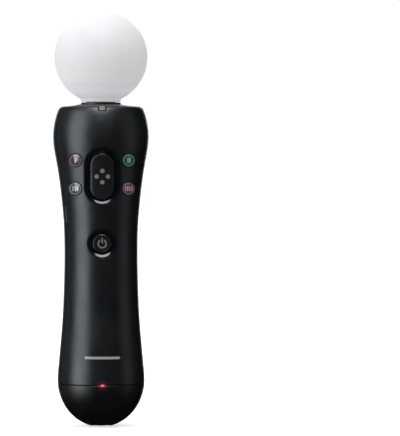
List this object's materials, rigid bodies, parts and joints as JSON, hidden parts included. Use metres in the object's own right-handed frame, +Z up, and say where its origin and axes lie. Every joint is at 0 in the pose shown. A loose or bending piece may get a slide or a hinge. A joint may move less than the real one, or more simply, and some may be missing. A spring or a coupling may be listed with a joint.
{
  "type": "vr motion controller",
  "caption": "Hand-held motion controller: a glowing tracking ball on a waisted round handle, with thumb buttons in front and a finger trigger behind.",
  "frame": {"origin": "centre of the flat foot at the bottom of the tail cap, where the handle sits in a charging dock", "axes": "+Z up along the handle to the ball, -Y the front with the thumb buttons, +Y the back with the trigger, +X the user's right"},
  "size_m": [0.046, 0.0456, 0.2],
  "materials": {
    "shell": "satin black moulded plastic",
    "smooth": "smooth black plastic of the buttons",
    "smoke": "dark translucent plastic with printed bars",
    "collar": "dark grey plastic",
    "trigger": "smooth black plastic, worn by the finger",
    "plate": "satin black plastic panel",
    "sphere": "milky white translucent ball",
    "clear": "frosted clear plastic",
    "steel": "zinc-plated steel",
    "gold": "gold-plated contacts",
    "silicone": "grey silicone",
    "board": "green circuit board",
    "chip": "black epoxy",
    "white": "white nylon",
    "cell": "blue shrink film",
    "lead_jacket": "red insulation",
    "status": "red lamp window"
  },
  "bodies": {
    "housing": {"front_shell": "shell", "rear_shell": "shell", "tail_cap": "shell", "rating_plate": "plate", "case_screw_1": "steel", "case_screw_2": "steel", "case_screw_3": "steel", "case_screw_4": "steel", "light_sphere": "sphere", "sphere_seat": "collar", "top_collar": "collar", "light_guide": "clear", "light_board": "board", "rgb_led": "white", "button_keypad": "silicone", "start_switch": "chip", "select_switch": "chip", "trigger_axle": "steel", "trigger_spring": "steel", "trigger_bracket": "chip", "bracket_screw_1": "steel", "bracket_screw_2": "steel", "trigger_sensor": "silicone", "main_board": "board", "processor_chip": "chip", "radio_module": "steel", "motion_sensor": "chip", "tail_board": "board", "battery": "cell", "battery_cradle": "chip", "battery_socket": "white", "battery_lead": "lead_jacket", "vibration_motor": "steel", "motor_boot": "silicone", "usb_port": "steel", "expansion_port": "chip", "charge_contact_right": "gold", "charge_contact_left": "gold", "status_lens": "status", "status_led": "white", "strap_bar": "steel", "reset_switch": "chip"},
    "main_button": {"main_button": "smooth"},
    "home_button": {"home_button": "smooth"},
    "upper_left_button": {"action_button_upper_left": "smoke"},
    "upper_right_button": {"action_button_upper_right": "smoke"},
    "lower_left_button": {"action_button_lower_left": "smoke"},
    "lower_right_button": {"action_button_lower_right": "smoke"},
    "start_button": {"start_button": "smooth", "start_plunger": "white"},
    "select_button": {"select_button": "smooth", "select_plunger": "white"},
    "trigger": {"trigger": "trigger"},
    "strap_lock": {"strap_lock": "smooth"},
    "motor_weight": {"motor_weight": "steel", "motor_shaft": "steel"},
    "reset_plunger": {"reset_plunger": "white"}
  },
  "joints": [
    {"name": "main_button_press", "type": "slide", "parent": "housing", "child": "main_button", "axis": [0, 1, 0], "range_m": [0, 0.001], "stiffness_N_per_m": 900, "springref_m": -0.0008, "deforming": ["button_keypad"]},
    {"name": "home_button_press", "type": "slide", "parent": "housing", "child": "home_button", "axis": [0, 1, 0], "range_m": [0, 0.0007], "stiffness_N_per_m": 900, "springref_m": -0.0006, "deforming": ["button_keypad"]},
    {"name": "upper_left_press", "type": "slide", "parent": "housing", "child": "upper_left_button", "axis": [0, 1, 0], "range_m": [0, 0.0008], "stiffness_N_per_m": 800, "springref_m": -0.0006, "deforming": ["button_keypad"]},
    {"name": "upper_right_press", "type": "slide", "parent": "housing", "child": "upper_right_button", "axis": [0, 1, 0], "range_m": [0, 0.0008], "stiffness_N_per_m": 800, "springref_m": -0.0006, "deforming": ["button_keypad"]},
    {"name": "lower_left_press", "type": "slide", "parent": "housing", "child": "lower_left_button", "axis": [0, 1, 0], "range_m": [0, 0.0008], "stiffness_N_per_m": 800, "springref_m": -0.0006, "deforming": ["button_keypad"]},
    {"name": "lower_right_press", "type": "slide", "parent": "housing", "child": "lower_right_button", "axis": [0, 1, 0], "range_m": [0, 0.0008], "stiffness_N_per_m": 800, "springref_m": -0.0006, "deforming": ["button_keypad"]},
    {"name": "start_press", "type": "slide", "parent": "housing", "child": "start_button", "axis": [-1, 0, 0], "range_m": [0, 0.0006], "stiffness_N_per_m": 1200, "springref_m": -0.0006},
    {"name": "select_press", "type": "slide", "parent": "housing", "child": "select_button", "axis": [1, 0, 0], "range_m": [0, 0.0006], "stiffness_N_per_m": 1200, "springref_m": -0.0006},
    {"name": "trigger_pull", "type": "hinge", "parent": "housing", "child": "trigger", "pos_m": [0, 0.0072, 0.137], "axis": [-1, 0, 0], "range_deg": [0, 14], "stiffness_Nm_per_rad": 0.06, "springref_deg": -20.05, "deforming": ["trigger_spring"]},
    {"name": "strap_lock_slide", "type": "slide", "parent": "housing", "child": "strap_lock", "axis": [0, 0, 1], "range_m": [0, 0.0024]},
    {"name": "motor_spin", "type": "hinge", "parent": "housing", "child": "motor_weight", "pos_m": [0, 0.006, 0.1008], "axis": [0, 0, 1], "continuous": true},
    {"name": "reset_press", "type": "slide", "parent": "housing", "child": "reset_plunger", "axis": [0, -1, 0], "range_m": [0, 0.0004], "stiffness_N_per_m": 600, "springref_m": -0.0005}
  ]
}
